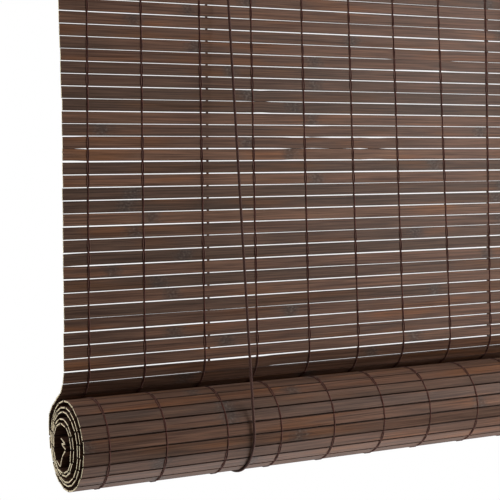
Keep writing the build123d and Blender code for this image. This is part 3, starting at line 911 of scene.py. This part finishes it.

# Lift cords. Two thin dark brown braids, each tied above the batten, led down behind the mat, under the roll
# and up its front to a ferrule in the lath, and along the lath's groove to the lock.
# Its dark colour is mostly painted shade in the grooves of the braid.
braid = strand_finish(
    "braid",
    dark=stain(40, 25, 22),
    light=stain(84, 56, 48),
    pitch=0.0026,
    strands=4.0,
    counter=1.0,
    depth=0.0003,
)
CORD_RADIUS, CORD_X = 0.0011, 0.1525
LEFT_LANE, RIGHT_LANE = -0.0413, -0.0385
TOUCH_RADIUS, TOUCH_DEGREES = 0.0370, 175.3
SPLICE_RISE = 0.017
LOOP_RADII, LOOP_STEP = (0.0371, 0.0373, 0.0375, 0.0384), 41.5
BACK_CORNER = (AXIS_Y + 0.042111, AXIS_Z + 0.0014)
ABOVE_CORNER = (BACK_CORNER[0] - 0.0004, BACK_CORNER[1] + 0.022)
BACK_JOINT = (AXIS_Y + 0.040089, MAT_BOTTOM)
BATTEN_HOLE, BATTEN_TOP = (-0.006, -0.034), -0.014
LATH_FACE, FERRULE_TOP, GROOVE_CORD_Z = -0.0352, -0.0282, -0.0209
GROOVE_BEND, LOCK_END = 0.0075, 0.253
KNOT_START = (LOCK_END - 0.001, -0.0399, -0.0195)


def cord_piece(name, route, node, body):
    cord = spun_tube(name, route, CORD_RADIUS, 3, 6)
    cord.data.materials.append(braid)
    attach(cord, body)
    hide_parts(node)
    return cord


KNOT_CORD_RADIUS, WRAP_RADIUS, WRAP_START, WRAP_ADVANCE = 0.0010, 0.0017, 0.0007, 0.00021
WRAP_POINTS, POINTS_PER_WRAP = 13, 6
KNOT_LENGTH, CORD_END_LENGTH = 0.0042, 0.0085


def stopper_knot(name, start, along, node, cord_end):
    """Wrapped stopper knot round a cord, its end standing out."""
    along = Vector(along)
    across = along.orthogonal().normalized()
    third = along.cross(across)
    wraps = []
    for number in range(WRAP_POINTS):
        angle = math.tau * number / POINTS_PER_WRAP
        place = Vector(start) + along * (WRAP_START + WRAP_ADVANCE * number)
        wraps.append(place + WRAP_RADIUS * (math.cos(angle) * across + math.sin(angle) * third))
    tail = [Vector(start) + along * KNOT_LENGTH, Vector(start) + along * CORD_END_LENGTH]
    route = [tuple(point) for point in list(cord_end) + wraps + tail]
    knot = spun_tube(name, route, KNOT_CORD_RADIUS, 2, 4)
    knot.data.materials.append(braid)
    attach(knot, "headrail")
    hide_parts(node)


def from_axis(radius, degrees):
    """Place beside the roll's axis as (back, up), turned from straight back."""
    angle = math.radians(degrees)
    return (AXIS_Y + radius * math.cos(angle), AXIS_Z + radius * math.sin(angle))


touch = from_axis(TOUCH_RADIUS, TOUCH_DEGREES)
for name, side, lane in (("left", -1, LEFT_LANE), ("right", 1, RIGHT_LANE)):
    x = side * CORD_X
    front_run = Vector((lane, LATH_FACE)) - Vector(touch)
    splice = Vector(touch) + front_run.normalized() * SPLICE_RISE
    middle_run = (splice + Vector((lane, LATH_FACE))) / 2
    run = cord_piece(
        f"{name}_front_cord",
        [(x, *splice), (x, *middle_run), (x, lane, LATH_FACE)],
        f"{name}_cord_front_run",
        "headrail",
    )
    gathers_up(run)
    leaving = TOUCH_RADIUS * math.tan(math.radians(LOOP_STEP / 2))
    loop = [(x, *splice), (x, *(Vector(touch) + front_run.normalized() * leaving))]
    for number, radius in enumerate(LOOP_RADII):
        corner = radius / math.cos(math.radians(LOOP_STEP / 2))
        loop.append((x, *from_axis(corner, TOUCH_DEGREES + LOOP_STEP * (number + 0.5))))
    loop += [(x, *BACK_CORNER), (x, *ABOVE_CORNER), (x, *BACK_JOINT)]
    cord_piece(f"{name}_roll_cord", loop, f"{name}_cord_cradle", "roll_sling")
    back_middle = ((BACK_JOINT[0] + BATTEN_HOLE[0]) / 2, (BACK_JOINT[1] + BATTEN_HOLE[1]) / 2)
    back_run = cord_piece(
        f"{name}_back_cord",
        [(x, *BACK_JOINT), (x, *back_middle), (x, *BATTEN_HOLE)],
        f"{name}_cord_back_run",
        "headrail",
    )
    gathers_up(back_run)
    hole = (x, BATTEN_HOLE[0], BATTEN_TOP)
    stopper_knot(
        f"{name}_back_knot", hole, (0, 0, 1), f"{name}_cord_back_end", [(x, *BATTEN_HOLE), hole]
    )
    cord_piece(
        f"{name}_groove_cord",
        [
            (x, lane, LATH_FACE),
            (x, lane, FERRULE_TOP),
            (x, lane, GROOVE_CORD_Z),
            (x + GROOVE_BEND, lane, GROOVE_CORD_Z),
            (LOCK_END, lane, GROOVE_CORD_Z),
        ],
        f"{name}_cord_top_run",
        "headrail",
    )
stopper_knot("joined_knot", KNOT_START, (1, 0, 0), "cord_end_knot", [KNOT_START])

# Ferrules and cord lock. Turned brass ferrules keep the cords off the wood. The lock is a folded steel
# trough in the lath's groove, with a ribbed brass cam on a steel pin that grips the cords from above.
BRASS_POLISH = 0.18
brass = metal_finish("brass", stain(150, 118, 62), stain(206, 172, 104), BRASS_POLISH)
for side in ("left", "right"):
    ferrule = f"{side}_cord_ferrule"
    eased_copy(ferrule, f"{side}_turned_ferrule", brass, "headrail", METAL_EASE)
eased_copy("cord_lock_trough", "folded_trough", zinc_steel, "headrail", METAL_EASE)
eased_copy("cord_lock_pin", "lock_axle", zinc_steel, "headrail", METAL_EASE)

CAM_MIDDLE = Vector((0.240, -0.0399, -0.0147))
CAM_RADIUS, CAM_THICKNESS, CAM_CORNERS = 0.005, 0.0059, 48
RIB_ROOT, RIB_EASE = 0.93, 0.00015
bpy.ops.object.select_all(action="DESELECT")
bpy.ops.mesh.primitive_cylinder_add(
    vertices=CAM_CORNERS,
    radius=CAM_RADIUS,
    depth=CAM_THICKNESS,
    location=CAM_MIDDLE,
    rotation=(math.pi / 2, 0, 0),
)
ribbed_cam = bpy.context.object
ribbed_cam.name = "ribbed_cam"
bpy.ops.object.transform_apply(location=True, rotation=True)
shape = edit(ribbed_cam)
for vertex in shape.verts:
    spoke = vertex.co - CAM_MIDDLE
    corner_number = round(math.atan2(spoke.z, spoke.x) / math.tau * CAM_CORNERS)
    vertex.select_set(corner_number % 2 == 0)
shape.select_flush(True)
bpy.ops.transform.resize(value=(RIB_ROOT, 1, RIB_ROOT), center_override=CAM_MIDDLE)
apply_bevel(ribbed_cam, RIB_EASE, 1)
ribbed_cam.data.materials.append(brass)
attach(ribbed_cam, "lock_cam")
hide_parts("cord_lock_cam")
